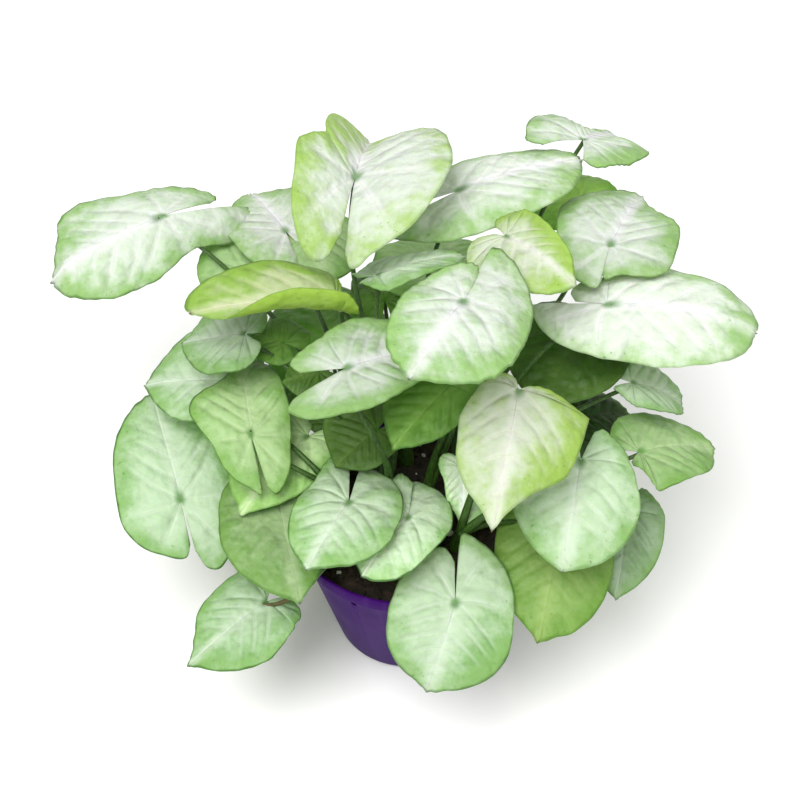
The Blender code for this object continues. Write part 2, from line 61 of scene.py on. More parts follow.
class Wire:
    # one output of a node; + - * / ** on it add Math nodes

    def __init__(self, tree, socket=None):
        self.tree = tree
        self.socket = socket

    def node(self, kind, settings=None, sockets=None, output=0):
        made = self.tree.nodes.new("ShaderNode" + kind)
        for name, value in (settings or {}).items():
            setattr(made, name, value)
        for name, value in (sockets or {}).items():
            if isinstance(value, Wire):
                self.tree.links.new(value.socket, made.inputs[name])
            else:
                made.inputs[name].default_value = value
        return Wire(self.tree, made.outputs[output])

    def maths(self, operation, *values):
        return self.node("Math", {"operation": operation}, dict(enumerate(values)))

    def __add__(self, other):
        return self.maths("ADD", self, other)

    def __sub__(self, other):
        return self.maths("SUBTRACT", self, other)

    def __rsub__(self, other):
        return self.maths("SUBTRACT", other, self)

    def __mul__(self, other):
        return self.maths("MULTIPLY", self, other)

    def __truediv__(self, other):
        return self.maths("DIVIDE", self, other)

    def __pow__(self, other):
        return self.maths("POWER", self, other)

    __radd__ = __add__
    __rmul__ = __mul__

    def smooth(self, low, high, most=1):
        # 0 below low, most above high, eased between; each span in the dictionaries is these three
        settings = {"interpolation_type": "SMOOTHSTEP"}
        sockets = {"Value": self, "From Min": low, "From Max": high, "To Max": most}
        return self.node("MapRange", settings, sockets)

    def colour(self, value):
        made = self.node("RGB")
        made.socket.default_value = (*value, 1)
        return made

    def blend(self, other, share):
        # this colour, turning into the other one by share
        other = other if isinstance(other, Wire) else (*other, 1)
        return self.node("Mix", {"data_type": "RGBA"}, {0: share, 6: self, 7: other}, 2)

    def stain(self, field, other, span):
        # this colour, turning into the other one where the field is high
        return self.blend(other, field.smooth(*span))

    def tint(self, other):
        # this colour times another one
        settings = {"data_type": "RGBA", "blend_type": "MULTIPLY"}
        return self.node("Mix", settings, {0: 1, 6: self, 7: (*other, 1)}, 2)

    def place(self):
        return self.node("TexCoord", output="Object")

    def stretch(self, place, lengthwise):
        # noise read from here is drawn out along Z where lengthwise is below 1
        return self.node("Mapping", None, {"Vector": place, "Scale": (1, 1, lengthwise)})

    def split(self, vector):
        made = self.node("SeparateXYZ", None, {0: vector})
        return [Wire(self.tree, socket) for socket in made.socket.node.outputs]

    def clouds(self, place, scale, detail, roughness=0.55):
        sockets = {"Vector": place, "Scale": scale, "Detail": detail, "Roughness": roughness}
        return self.node("TexNoise", None, sockets)

    def read(self, name, output="Color"):
        return self.node("Attribute", {"attribute_name": name}, None, output)

    def bump(self, height, distance, strength):
        return self.node("Bump", None, {"Height": height, "Distance": distance, "Strength": strength})


def newFinish(name, **fixed):
    # a material, the tree to wire, and its shader, whose fixed sockets are set here
    made = bpy.data.materials.new(name)
    made.use_nodes = True
    shader = made.node_tree.nodes["Principled BSDF"]
    for socket, value in fixed.items():
        shader.inputs[socket.replace("_", " ")].default_value = value
    return made, Wire(made.node_tree), shader


def feed(tree, shader, **wires):
    for socket, wire in wires.items():
        tree.tree.links.new(wire.socket, shader.inputs[socket.replace("_", " ")])


# Leaves

# Half of a blade's outline from its tip round to its notch, as shares of the length ahead of the notch
# (or of the lobe behind it) and of half the width.
blade = {
    "outline": [(1.00, 0.00), (0.94, 0.14), (0.82, 0.47), (0.63, 0.79), (0.40, 0.97), (0.14, 1.00),
                (-0.20, 0.95), (-0.60, 0.80), (-0.92, 0.52), (-1.00, 0.30), (-0.82, 0.13)],
    "stepsPerHalf": 60,
    "rings": 20,
    "ringEase": 0.9,       # below 1, the rings crowd towards the edge
    "thickness": 0.0006,
    "tipRound": 0.2,       # how blunt the tip is
    "hookShare": 0.3,      # the end of the blade that hooks down
    "waves": 2.5,          # along each half of the edge
    "waveShift": 2,        # between the waves of the two halves, in radians
    "waveOnset": 3,        # the higher this power, the nearer to the edge they begin
    "crinkle": 0.0003,     # fine ripples near the edge
    "crinkles": 15,
    "crinkleOnset": 6,
    "buckle": 0.0026,      # how far a blade strays from its smooth arch
    "buckleScale": 28,     # per metre
    "quilt": 0.0013,       # how far it swells between its veins
    "quiltIn": 3,          # full from a third of the way to the edge
    "quiltOut": 0.96,      # just under 1, so a little of it is left at the edge
    "nibble": 0.012,       # how uneven its outline is, as a share of its width
    "nibbleScale": 1.9,    # per point of the outline
    "patchEase": 0.7,      # below 1, a green patch stays strong further out
}

# Where the side veins leave the midrib (spacing, as a share of the length), how they rise and arch, how
# many fan out behind the notch, and how wide the steps between them are, ahead and behind.
veins = {"spacing": 0.165, "rise": 0.30, "arch": 0.22, "fan": 3.1, "step": 0.22, "fanStep": 0.5}

# Two colours for each leaf: the pale middle and the green of its margin and blotches.
leafColours = {
    "snow": ((0.51, 0.56, 0.485), (0.19, 0.35, 0.085)),
    "pearl": ((0.51, 0.56, 0.485), (0.25, 0.40, 0.045)),
    "mint": ((0.39, 0.50, 0.34), (0.15, 0.305, 0.075)),
    "leek": ((0.29, 0.42, 0.19), (0.125, 0.27, 0.045)),
    "cream": ((0.52, 0.58, 0.44), (0.26, 0.42, 0.03)),
    "lime": ((0.44, 0.50, 0.28), (0.19, 0.35, 0.02)),
    # the last two looks are painted shade: dark green for leaves that lie in shade deep in the plant and
    # under the others
    "shadedOlive": ((0.20, 0.31, 0.08), (0.09, 0.20, 0.02)),
    "fern": ((0.075, 0.15, 0.025), (0.03, 0.085, 0.008)),
}


def leaf(notch, tip, reach, lobe, face=(0, 0, 1), taper=0, sag=30, hook=0, droop=15, fold=10, curl=25,
         spread=0, wave=0.0012, bow=(0, 0, 0), edge=(1,) * 11, look="mint", green=0.0, greener=(0, 0),
         patch=(0, 0, 1, 0), tone=1, frill=1, rim=0.4):
    # A pair is for the left and the right half, seen from the notch. Angles are in degrees. edge draws the
    # outline out or in, at even steps from the left lobe round the tip to the right one. green adds to the
    # blotches all over, greener makes them grow to the right and towards the tip, and patch adds to them
    # round one place (right, ahead, radius, strength). The tone scale brightens or darkens the look's two
    # colours, partly for the leaf's own paleness and partly as painted shade on leaves lower in the plant;
    # frill ruffles the edge, and rim darkens it.
    one = dict(locals())
    for name in ("reach", "lobe", "taper", "fold", "curl", "spread"):
        if not isinstance(one[name], tuple):
            one[name] = (one[name], one[name])
    for name in ("notch", "tip", "face", "bow"):
        one[name] = Vector(one[name])
    for name in ("sag", "hook", "droop"):
        one[name] = math.radians(one[name])
    return one


# leaves given the two darkest looks are painted shade, dark sheets where the plant lies in shade
leafyStems = {
    "stem_back_left": {"foot": (-0.024, 0.030), "lean": (-0.004, 0.006), "leaves": [
        leaf((-0.16, 0.162, 0.215), (-0.228, 0.118, 0.205), (0.041, 0.038), (0.062, 0.045), (0, -0.2, 1),
             taper=(0, -0.3), sag=12, hook=40, droop=25, fold=(-12, -12), curl=(25, 10), spread=(5, -8),
             bow=(-0.006, -0.006, 0.012), edge=(1.2, 1.1, 0.76, 0.95, 1.18, 1.06, 1.06, 1.27, 0.98, 0.95, 1),
             look="snow", frill=1.8, rim=0.5),
        leaf((-0.08, 0.165, 0.2), (-0.108, 0.215, 0.19), 0.035, 0.035, look="snow", green=0.1),
        leaf((-0.106, 0.14, 0.188), (-0.08, 0.184, 0.184), 0.036, 0.026, look="leek"),
        leaf((-0.056, 0.17, 0.195), (-0.056, 0.118, 0.19), 0.03, 0.025, look="leek", rim=0.6),
        leaf((-0.05, 0.114, 0.132), (-0.062, 0.205, 0.116), (0.044, 0.042), 0.028, look="fern", tone=1.7),
    ]},
    "stem_back": {"foot": (0.000, 0.040), "lean": (0.000, 0.006), "leaves": [
        leaf((-0.031, 0.129, 0.272), (-0.024, 0.206, 0.24), (0.053, 0.06), (0.064, 0.068), taper=(0.4, 0.3),
             droop=35, fold=(46, 28), curl=(20, 25), spread=(-4, -9), bow=(-0.012, 0, -0.006),
             edge=(0.95, 1.12, 0.84, 0.6, 1.4, 1.1, 1, 1.05, 1.03, 0.95, 1.1), look="pearl", green=-0.06,
             greener=(-0.25, 0), patch=(-0.35, 0.65, 0.65, 1.4), rim=0.25),
        leaf((0.033, 0.139, 0.255), (0.115, 0.176, 0.25), (0.036, 0.038), 0.052, fold=(-8, 10),
             spread=(10, -8), edge=(1, 1.1, 1.18, 1.15, 1.08, 0.98, 1.02, 1.1, 1.05, 0.98, 0.95), look="snow",
             green=0.06, tone=1.05, rim=0.25),
        leaf((-0.017, 0.071, 0.245), (0.036, 0.086, 0.245), 0.031, 0.014, (0, 0.5, 0.87), droop=-20,
             tone=0.98),
        leaf((-0.014, 0.128, 0.172), (-0.018, 0.186, 0.15), (0.022, 0.03), 0.026, look="fern", tone=1.5),
    ]},
    "stem_back_right": {"foot": (0.030, 0.028), "lean": (0.005, 0.005), "leaves": [
        leaf((0.115, 0.196, 0.251), (0.15, 0.239, 0.217), 0.0375, (0.052, 0.036), fold=(16, 10),
             spread=(14, 28), edge=(0.8, 0.8, 0.98, 0.55, 0.45, 1, 1, 1, 1, 1, 1), look="snow", green=0.15,
             greener=(0.3, 0), rim=0.6),
        leaf((0.116, 0.19, 0.205), (0.078, 0.2, 0.195), 0.032, 0.026, look="shadedOlive", tone=1.8),
        leaf((0.123, 0.098, 0.245), (0.154, 0.168, 0.225), 0.04, 0.035, spread=(-22, -5),
             bow=(-0.02, 0.05, 0), edge=(1, 0.9, 0.84, 1.05, 1.05, 0.95, 0.82, 0.92, 1, 0.68, 0.8),
             look="snow", green=0.12, tone=0.93, rim=0.3),
        leaf((0.058, 0.087, 0.262), (0.095, 0.037, 0.266), (0.022, 0.031), 0.015, fold=(10, 0),
             curl=(-40, 30), edge=(1.1, 1.05, 0.88, 0.86, 0.94, 1, 1.08, 1, 1, 1, 1), look="cream",
             green=0.12, greener=(-0.35, 0.1), tone=0.87),
        leaf((0.024, 0.142, 0.184), (0.034, 0.2, 0.164), (0.048, 0.038), 0.03, look="leek", tone=1.4),
    ]},
    "stem_right": {"foot": (0.040, 0.002), "lean": (0.006, 0.000), "leaves": [
        leaf((0.118, 0.057, 0.235), (0.203, 0.042, 0.231), 0.041, (0.026, 0.046), hook=20, fold=(2, 0),
             curl=(18, 25), spread=(8, -26), bow=(-0.012, 0, 0.012),
             edge=(1, 0.95, 0.72, 0.98, 1.2, 1.04, 1.14, 1.08, 0.9, 0.94, 1.2), look="snow", green=-0.25,
             greener=(0, 0.1), patch=(0, 1, 0.4, 1.1), tone=1.08, rim=0.12),
        leaf((0.136, 0.036, 0.19), (0.17, 0.04, 0.168), (0.026, 0.019), 0.014,
             edge=(1, 1, 1, 1.05, 1.15, 1, 1.15, 1.05, 0.9, 0.9, 1), rim=0.6),
        leaf((0.108, 0.075, 0.195), (0.08, 0.015, 0.188), (0.037, 0.042), 0.026, look="fern", tone=0.75),
        leaf((0.139, 0.001, 0.167), (0.19, 0.018, 0.15), 0.031, (0.018, 0.01), spread=10,
             edge=(0.95, 0.88, 0.95, 1.04, 1, 1, 1, 0.9, 0.97, 0.8, 1), look="leek", tone=0.9),
        leaf((0.104, 0.056, 0.135), (0.146, 0.068, 0.125), 0.032, 0.024, bow=(0, 0.008, -0.004), look="fern",
             tone=0.25),
    ]},
    "stem_front_right": {"foot": (0.030, -0.026), "lean": (0.005, -0.004), "leaves": [
        leaf((0.063, -0.002, 0.225), (0.046, -0.078, 0.197), (0.041, 0.033), (0.005, 0.012), (0, -0.4, 0.9),
             taper=(0, -0.3), droop=5, fold=(-5, 10), bow=(0, -0.006, 0.006),
             edge=(1.1, 1.25, 1.14, 1.02, 0.9, 1.03, 0.96, 0.84, 0.6, 0.6, 0.75), look="cream", green=0.08,
             greener=(-0.35, -0.3), tone=0.86, rim=0.12),
        leaf((0.102, -0.012, 0.175), (0.087, -0.077, 0.153), 0.038, 0.024, (0, -0.4, 0.9), taper=(-0.2, 0),
             bow=(0, -0.012, 0.006), edge=(1.15, 0.88, 0.8, 0.97, 1.04, 1, 1.03, 1.02, 1, 1, 1), green=-0.05,
             tone=1.05, rim=0.25),
        leaf((0.092, -0.029, 0.135), (0.075, -0.097, 0.108), (0.037, 0.039), 0.03, (0, -0.5, 0.85),
             taper=(-0.2, 0), fold=(10, -6), edge=(1, 1, 0.92, 0.92, 1, 0.98, 0.95, 0.95, 1, 1, 1),
             look="shadedOlive", rim=0.3),
        leaf((0.135, -0.016, 0.13), (0.124, -0.068, 0.112), (0.023, 0.028), 0.02, bow=(-0.006, 0.018, -0.012),
             tone=0.62),
        leaf((0.034, 0.002, 0.152), (0.034, -0.03, 0.126), (0.019, 0.02), 0.007, fold=(10, 20),
             edge=(1, 1, 1, 1, 1, 1, 0.75, 0.6, 0.8, 1, 1), tone=2),
    ]},
    "stem_front": {"foot": (0.002, -0.040), "lean": (0.000, -0.006), "leaves": [
        leaf((0.028, -0.078, 0.125), (0.012, -0.121, 0.1), 0.037, (0.044, 0.036), (0, -0.6, 0.8), taper=-0.2,
             hook=20, droop=0, spread=(-24, 8),
             edge=(0.98, 0.92, 0.98, 0.99, 1.03, 1.04, 1.02, 0.92, 0.98, 0.9, 0.85), green=-0.15,
             greener=(-0.1, 0.1), patch=(-0.6, 0.35, 0.45, 0.7), tone=0.97, rim=0.5),
        leaf((0.001, -0.035, 0.15), (-0.026, -0.078, 0.15), (0.028, 0.025), 0.041, droop=0, spread=(-45, 25),
             edge=(1, 1, 0.95, 0.95, 1.1, 1, 1, 1, 1, 1, 1), green=-0.15, tone=1.3, rim=0.9),
    ]},
    "stem_front_left": {"foot": (-0.030, -0.026), "lean": (-0.005, -0.004), "leaves": [
        leaf((-0.034, -0.032, 0.16), (-0.056, -0.082, 0.163), (0.036, 0.029), (0.042, 0.046), droop=0,
             spread=(-28, 22), edge=(0.92, 0.92, 0.92, 0.98, 1.04, 1.02, 1.02, 0.95, 1, 1.05, 1.05),
             tone=1.07, rim=0.7),
        leaf((-0.08, -0.003, 0.131), (-0.062, -0.08, 0.125), (0.029, 0.037), 0.03, taper=(0, -0.2),
             look="leek", tone=0.85),
        leaf((-0.085, -0.057, 0.095), (-0.13, -0.097, 0.085), (0.035, 0.026), (0.012, 0.042),
             spread=(-15, 40), bow=(0.01, -0.018, 0.016),
             edge=(1, 0.9, 0.74, 0.97, 1, 1, 0.93, 1.04, 1.3, 1.1, 0.9), green=0.1, tone=0.95, rim=0.8),
        leaf((-0.14, -0.002, 0.125), (-0.165, 0.072, 0.142), (0.034, 0.037), (0.033, 0.044), spread=(-9, -7),
             bow=(0, 0.006, -0.018), edge=(1.05, 1.04, 1.18, 1.06, 1.04, 1, 0.97, 0.9, 1.06, 1.08, 0.92),
             green=-0.05, rim=0.85),
    ]},
    "stem_left": {"foot": (-0.040, 0.002), "lean": (-0.006, 0.000), "leaves": [
        leaf((-0.094, 0.014, 0.168), (-0.104, 0.072, 0.17), (0.032, 0.027), 0.038, spread=(-15, 4),
             bow=(0.012, -0.012, 0.006), edge=(1.1, 0.85, 0.76, 1.15, 0.88, 0.95, 1.15, 0.96, 0.92, 1, 1.1),
             look="leek", green=-0.1, tone=1.1, rim=0.7),
        leaf((-0.062, 0.034, 0.143), (-0.1, -0.024, 0.135), (0.026, 0.036), 0.016, bow=(0.006, -0.012, 0.006),
             look="leek", tone=1.5, rim=0.3),
        leaf((-0.11, 0.06, 0.165), (-0.166, 0.064, 0.155), (0.034, 0.044), 0.018, bow=(0.006, -0.024, 0.006),
             edge=(1, 1, 1, 1, 1, 1, 1.06, 1.24, 1.08, 1, 1), tone=1.06, rim=0.7),
        leaf((-0.066, 0.048, 0.138), (-0.094, 0.088, 0.13), (0.034, 0.026), (0.022, 0.012), look="fern"),
    ]},
    "stem_middle_left": {"foot": (-0.014, 0.006), "lean": (-0.003, 0.003), "leaves": [
        leaf((-0.042, 0.061, 0.235), (-0.127, 0.048, 0.235), (0.03, 0.032), (0.012, 0.007), fold=(-20, 10),
             curl=(-150, 20), bow=(0.018, 0, -0.012), edge=(1, 1, 1, 1, 0.95, 1, 1.18, 1.1, 0.65, 0.6, 0.8),
             look="lime", green=0.3, tone=0.9, rim=0.3),
        leaf((-0.034, 0.005, 0.235), (0.025, 0.03, 0.225), 0.042, 0.04, spread=(15, -6),
             bow=(0.018, -0.018, 0.012), edge=(0.8, 0.75, 0.7, 0.9, 0.9, 1, 0.85, 0.75, 0.8, 0.95, 1.02),
             look="snow", green=0.25, tone=0.92),
        leaf((-0.099, 0.066, 0.202), (-0.139, 0.07, 0.188), 0.033, 0.012, tone=0.88, rim=0.6),
        leaf((-0.076, 0.07, 0.19), (-0.1, 0.086, 0.183), 0.02, 0.013, bow=(-0.006, 0, -0.006), look="fern",
             tone=1.7),
        leaf((-0.054, 0.046, 0.19), (-0.076, 0.042, 0.184), 0.019, 0.01, bow=(-0.006, 0.018, -0.012),
             look="fern"),
        leaf((-0.018, 0.02, 0.165), (-0.043, 0, 0.153), (0.021, 0.034), 0.018, look="fern", tone=1.05),
    ]},
    "stem_middle": {"foot": (0.012, 0.008), "lean": (0.003, 0.003), "leaves": [
        leaf((0.03, 0.01, 0.282), (0, -0.051, 0.284), (0.041, 0.036), (0.052, 0.038), (0, -0.2, 1), droop=-20,
             fold=(0, 10), spread=(-18, -5), bow=(0.018, 0.012, 0.006),
             edge=(1, 1, 1, 1.04, 1.05, 1, 1.02, 0.82, 0.8, 0.82, 0.9), look="snow", green=0.08,
             greener=(0, 0.1), tone=0.96, frill=1.8, rim=0.45),
        leaf((0.025, 0.011, 0.215), (-0.008, -0.025, 0.198), (0.022, 0.03), 0.025, look="fern", tone=1.6,
             rim=0.7),
    ]},
}


def arc(distance, slope, turn):
    # how far an arc that turns down steadily gets ahead and up, and its slope there
    end = slope - turn * distance
    if abs(turn) < tiny:
        return distance * math.cos(slope), distance * math.sin(slope), end
    return (math.sin(slope) - math.sin(end)) / turn, (math.cos(end) - math.cos(slope)) / turn, end


def midrib(one, along, side):
    # how far the midrib has gone ahead and risen, and its slope, at a distance ahead of the notch
    sag = one["sag"]
    length = one["length"]
    if along < 0:
        return arc(along, sag / 2, one["droop"] / one["lobe"][side])
    hooked = (1 - blade["hookShare"]) * length
    gone, risen, slope = arc(min(along, hooked), sag / 2, sag / length)
    if along > hooked:
        further, higher, slope = arc(along - hooked, slope, (sag + one["hook"] / blade["hookShare"]) / length)
        gone, risen = gone + further, risen + higher
    return gone, risen, slope


def measure(one):
    # adds a leaf's length along its arch and its own three directions
    ahead = (one["tip"] - one["notch"]).normalized()
    up = (one["face"] - one["face"].dot(ahead) * ahead).normalized()
    half = one["sag"] / 2
    one["length"] = (one["tip"] - one["notch"]).length * half / math.sin(half)
    one["axes"] = (ahead, up.cross(ahead), up)


def outlineShares(turn):
    # the outline at a turn from its tip (0) to its notch (10), rounded through its points
    points = blade["outline"]
    step = min(int(turn), len(points) - 2)
    t = turn - step
    one, two = Vector(points[step]), Vector(points[step + 1])
    before = Vector(points[step - 1]) if step else Vector((one.x * 2 - two.x, -two.y * blade["tipRound"]))
    after = Vector(points[step + 2]) if step + 2 < len(points) else two * 2 - one
    return (
        one * 2 + (two - before) * t + (before * 2 - one * 5 + two * 4 - after) * t**2
        + (one * 3 - before - two * 3 + after) * t**3
    ) / 2


def edgeShare(one, walk):
    place = (walk + 10) / 2
    step = min(int(place), len(one["edge"]) - 2)
    ease = (place - step) ** 2 * (3 - 2 * (place - step))
    return one["edge"][step] * (1 - ease) + one["edge"][step + 1] * ease


def veinField(across, along):
    # how far a place is from its nearest side vein (0 on it, 0.5 half-way to the next one)
    lifted = along - veins["rise"] * across - veins["arch"] * across**2
    if lifted > 0:
        turn = lifted / veins["spacing"]
    else:
        turn = math.atan2(-lifted, across + tiny) / (math.pi / 2) * veins["fan"]
    return abs(turn - round(turn))


def bladePlace(one, turn, side, ring, seed):
    # a point of the blade, and its place in the plan (across, along, ring)
    ahead, left, up = one["axes"]
    alongShare, acrossShare = outlineShares(turn)
    walked = Vector((turn * blade["nibbleScale"] * one["frill"], side * 9, seed))
    nibble = 1 + blade["nibble"] * one["frill"] * (noise.noise(walked) * min(1, turn))
    swing = math.radians(one["spread"][side]) * min(1, -alongShare)
    drawn = ring * nibble * edgeShare(one, turn if side else -turn)
    alongOut, acrossOut = alongShare * drawn, acrossShare * drawn
    alongShare, acrossShare = alongShare * ring, acrossShare * ring
    if alongOut >= 0:
        along = alongOut * one["length"]
        across = acrossOut * one["reach"][side] * (1 - one["taper"][side] * alongOut)
    else:
        back = alongOut * one["lobe"][side]
        out = acrossOut * one["reach"][side]
        along = back * math.cos(swing) + out * math.sin(swing)
        across = out * math.cos(swing) - back * math.sin(swing)
    gone, risen, slope = midrib(one, along, side)
    curl = math.radians(one["curl"][side]) / one["reach"][side]
    out, raised, _ = arc(across, math.radians(one["fold"][side]), curl)

    last = len(blade["outline"]) - 1
    phase = 2 * math.pi * blade["waves"] * turn / last + blade["waveShift"] * side
    raised += one["wave"] * ring ** blade["waveOnset"] * math.sin(phase)
    ruffle = math.sin(phase / blade["waves"] * blade["crinkles"] + seed)
    raised += blade["crinkle"] * one["frill"] * ring ** blade["crinkleOnset"] * ruffle
    swell = math.sin(math.pi * veinField(acrossShare, alongShare)) * min(1, acrossShare * blade["quiltIn"])
    raised += blade["quilt"] * swell * math.sin(math.pi * min(1, ring * blade["quiltOut"]))
    sideways = -out if side else out
    stray = Vector((sideways, along, seed * 0.1)) * blade["buckleScale"]
    raised += blade["buckle"] * noise.noise(stray) * min(1, 2 * ring)
    point = (
        one["notch"]
        + ahead * (gone - raised * math.sin(slope))
        + up * (risen + raised * math.cos(slope))
        + left * sideways
    )
    return point, (acrossShare * (1 if side else -1), alongShare, ring)


def deselectAll():
    if bpy.context.object and bpy.context.object.mode != "OBJECT":
        bpy.ops.object.mode_set(mode="OBJECT")
    bpy.ops.object.select_all(action="DESELECT")


def applyModifier(piece, kind, **settings):
    bpy.context.view_layer.objects.active = piece
    made = piece.modifiers.new(kind.title(), kind)
    for name, value in settings.items():
        setattr(made, name, value)
    bpy.ops.object.modifier_apply(modifier=made.name)


def smoothByAngle(piece, degrees):
    deselectAll()
    piece.select_set(True)
    bpy.context.view_layer.objects.active = piece
    bpy.ops.object.shade_smooth_by_angle(angle=math.radians(degrees))


def mendMesh(closed=True):
    # merges the active piece's double points, and turns a closed one's faces outwards
    bpy.ops.object.mode_set(mode="EDIT")
    bpy.ops.mesh.select_all(action="SELECT")
    bpy.ops.mesh.remove_doubles(threshold=tiny)
    if closed:
        bpy.ops.mesh.normals_make_consistent(inside=False)
    bpy.ops.object.mode_set(mode="OBJECT")


def paint(mesh, name, kind, field, values):
    mesh.attributes.new(name, kind, "POINT").data.foreach_set(field, values)


def giveLeafFinishes(mesh):
    # blades and stalks are joined later, so all have the same three in the same order
    for finish in (bladeTop, bladeUnderside, stalkFinish):
        mesh.materials.append(finish)


def makeBlade(one, seed):
    measure(one)
    deselectAll()
    steps, rings = blade["stepsPerHalf"] * 2, blade["rings"]
    bpy.ops.mesh.primitive_grid_add(x_subdivisions=steps, y_subdivisions=rings, size=1)
    sheet = bpy.context.object
    mesh = sheet.data
    # the tone scale holds painted shade for leaves lower in the plant, as well as their own paleness
    pale, deep = ([share * one["tone"] for share in colour] for colour in leafColours[one["look"]])
    toRight, toTip = one["greener"]
    right, ahead, radius, strength = one["patch"]
    last = len(blade["outline"]) - 1
    plan, green = [], []
    for vertex in mesh.vertices:
        walk = (vertex.co.x + 0.5) * 2 - 1        # -1 left lobe, 0 tip, 1 right lobe
        ring = (vertex.co.y + 0.5) ** blade["ringEase"]
        vertex.co, share = bladePlace(one, abs(walk) * last, 0 if walk < 0 else 1, ring, seed)
        plan += share
        near = max(0, 1 - math.hypot(share[0] - right, share[1] - ahead) / radius) ** blade["patchEase"]
        green.append(one["green"] + toRight * share[0] + toTip * share[1] + strength * near)
    paint(mesh, "leafPlan", "FLOAT_VECTOR", "vector", plan)
    paint(mesh, "leafGreen", "FLOAT", "value", green)
    paint(mesh, "leafRim", "FLOAT", "value", [one["rim"]] * len(mesh.vertices))
    paint(mesh, "leafPale", "FLOAT_COLOR", "color", [*pale, 1] * len(mesh.vertices))
    paint(mesh, "leafDeep", "FLOAT_COLOR", "color", [*deep, 1] * len(mesh.vertices))
    mendMesh(closed=False)    # the grid's inner side is the notch
    giveLeafFinishes(mesh)
    applyModifier(sheet, "SOLIDIFY", thickness=blade["thickness"], offset=-1, material_offset=1)
    bpy.ops.object.shade_smooth()
    return sheet


# Veined finish of the blades

# Along is a share of the length, and across of half the width. The ring is 0 at the notch and 1 at the
# edge. A share says how strongly something shows, and a spread how far a noise moves it.
bladeLook = {
    "shader": {"Subsurface_Weight": 0.25, "Subsurface_Scale": 0.003, "Subsurface_Radius": (0.5, 1.0, 0.2),
               "IOR": 1.42, "Specular_IOR_Level": 0.35},
    "roughness": 0.52, "roughSpread": 0.12,

    "midribWidth": 0.050, "midribTaper": 1.15,    # and how far along it would come to nothing
    "haloWidth": 0.20,
    "veinWidth": 0.055,
    # width of the painted shade lines down the grooves of the veins and the midrib
    "grooveShadeWidth": 0.014,
    "midribStart": (-0.03, 0.01),
    "veinEnd": (0.55, 0.9),         # on the ring
    # along the midrib, where the painted shade down its groove fades out
    "midribShadeEnd": (0.05, 0.5),         # along the midrib

    # each noise: its scale per metre and detail, how far it moves the green about, and its height in metres
    "noises": {
        "puff": ((60, 2), 1.2, 0.0050),
        "blotch": ((95, 4), 1.1, 0.0014),
        "speck": ((420, 3), 0.35, 0.00008),
        "grain": ((1300, 2), 0, 0.00003),
    },
    "edgeGreener": (0.35, 1.05, 0.6),
    "haloPaler": 0.4,
    "allGreener": 0.14,
    "greenSpan": (0.05, 1.05, 0.85), "greenSpanBelow": (0.05, 1.05, 0.95),

    "marginGreen": (0.25, 0.40, 0.08), "marginMix": 0.4,
    "marginSpan": (0.70, 1.08, 0.45), "marginSpread": 0.5,
    "veinTint": (1.50, 1.28, 1.65),
    "haloShare": 0.38,
    "veinShare": 0.42, "veinPatches": (0.25, 0.6),
    "midribShare": 0.35,
    # how strongly painted shade darkens the side veins' grooves
    "veinShadeShare": 0.22,
    "undersideGreen": (0.26, 0.385, 0.05), "undersideShare": 0.75,
    "edgeGreen": (0.035, 0.11, 0.015), "edgeSpan": (0.962, 0.995), "edgeSpread": 0.06,
    "speckSpan": (0.66, 0.72), "speckRing": (0.6, 0.9, 0.5),
    "brownTip": ((0.09, 0.10, 0.03), (0.975, 0.995, 0.9)),
    # midribShadeShare darkens the midrib's groove near the notch with painted shade
    "sinusGreen": (0.05, 0.17, 0.012), "sinusSpan": (0.02, 0.13), "sinusShare": 0.8, "midribShadeShare": 0.4,

    "veinDepth": 0.00012,
    "quiltHeight": 0.0003, "quiltSpan": (0, 0.09), "quiltEnd": (0.8, 1),
}


